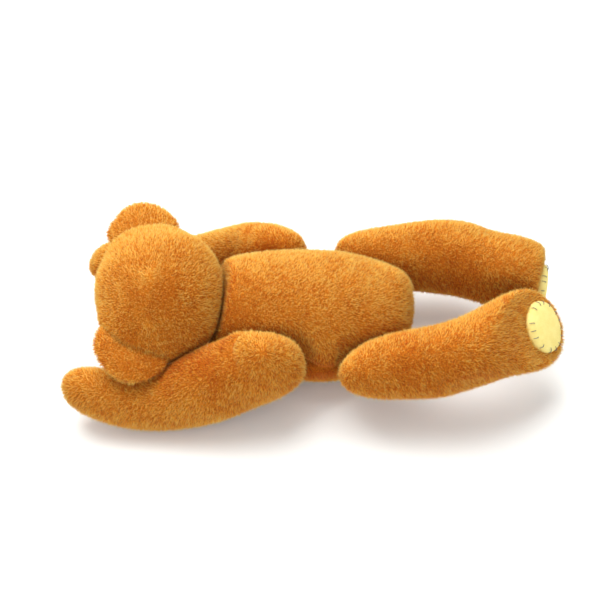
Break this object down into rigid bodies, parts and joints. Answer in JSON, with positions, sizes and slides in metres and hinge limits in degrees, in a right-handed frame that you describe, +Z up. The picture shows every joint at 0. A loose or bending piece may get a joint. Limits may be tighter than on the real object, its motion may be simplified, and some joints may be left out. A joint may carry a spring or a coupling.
{
  "type": "jointed teddy bear",
  "caption": "Small jointed plush bear lying face down, arms stretched past its head; head, arms and legs turn on disc joints; felt foot pads, bead eyes, stitched nose.",
  "frame": {"origin": "centre of the bounding box in plan, on the table the bear lies on", "axes": "+X from the head towards the feet, +Y towards the bear's right side, +Z up out of its back"},
  "size_m": [0.1214, 0.0617, 0.0412],
  "materials": {
    "golden_plush": "short dense upright pile, golden brown, paler at the tips",
    "yellow_felt": "smooth felt, pale yellow",
    "wood_wool": "packed fine shavings",
    "hardboard": "pressed board",
    "plated_steel": "plated",
    "black_glass": "polished bead",
    "black_thread": "satin stitch"
  },
  "bodies": {
    "body": {"body_cover": "golden_plush", "body_stuffing": "wood_wool", "left_arm_cotter_pin": "plated_steel", "left_arm_inner_disc": "hardboard", "left_arm_inner_washer": "plated_steel", "left_leg_cotter_pin": "plated_steel", "left_leg_inner_disc": "hardboard", "left_leg_inner_washer": "plated_steel", "neck_cotter_pin": "plated_steel", "neck_inner_disc": "hardboard", "neck_inner_washer": "plated_steel", "right_arm_cotter_pin": "plated_steel", "right_arm_inner_disc": "hardboard", "right_arm_inner_washer": "plated_steel", "right_leg_cotter_pin": "plated_steel", "right_leg_inner_disc": "hardboard", "right_leg_inner_washer": "plated_steel"},
    "head": {"head_cover": "golden_plush", "head_stuffing": "wood_wool", "left_ear": "golden_plush", "left_eye": "black_glass", "neck_outer_disc": "hardboard", "neck_outer_washer": "plated_steel", "nose": "black_thread", "right_ear": "golden_plush", "right_eye": "black_glass"},
    "left_arm": {"left_arm_cover": "golden_plush", "left_arm_outer_disc": "hardboard", "left_arm_outer_washer": "plated_steel", "left_arm_stuffing": "wood_wool"},
    "right_arm": {"right_arm_cover": "golden_plush", "right_arm_outer_disc": "hardboard", "right_arm_outer_washer": "plated_steel", "right_arm_stuffing": "wood_wool"},
    "left_leg": {"left_foot_pad": "yellow_felt", "left_leg_cover": "golden_plush", "left_leg_outer_disc": "hardboard", "left_leg_outer_washer": "plated_steel", "left_leg_stuffing": "wood_wool"},
    "right_leg": {"right_foot_pad": "yellow_felt", "right_leg_cover": "golden_plush", "right_leg_outer_disc": "hardboard", "right_leg_outer_washer": "plated_steel", "right_leg_stuffing": "wood_wool"}
  },
  "joints": [
    {"name": "neck", "type": "hinge", "parent": "body", "child": "head", "pos_m": [-0.0242, -0.0034, 0.0207], "axis": [-0.9493, -0.0581, 0.309], "range_deg": [-5, 35]},
    {"name": "left_shoulder", "type": "hinge", "parent": "body", "child": "left_arm", "pos_m": [-0.0129, -0.016, 0.0177], "axis": [0, -1, 0], "range_deg": [0, 95]},
    {"name": "right_shoulder", "type": "hinge", "parent": "body", "child": "right_arm", "pos_m": [-0.0129, 0.0122, 0.0172], "axis": [0.1392, 0.9903, 0], "range_deg": [-95, 125]},
    {"name": "left_hip", "type": "hinge", "parent": "body", "child": "left_leg", "pos_m": [0.0141, -0.0149, 0.0176], "axis": [0.2588, -0.9659, 0], "range_deg": [-90, 110]},
    {"name": "right_hip", "type": "hinge", "parent": "body", "child": "right_leg", "pos_m": [0.0141, 0.0099, 0.0181], "axis": [0.2588, 0.9659, 0], "range_deg": [-110, 90]}
  ]
}
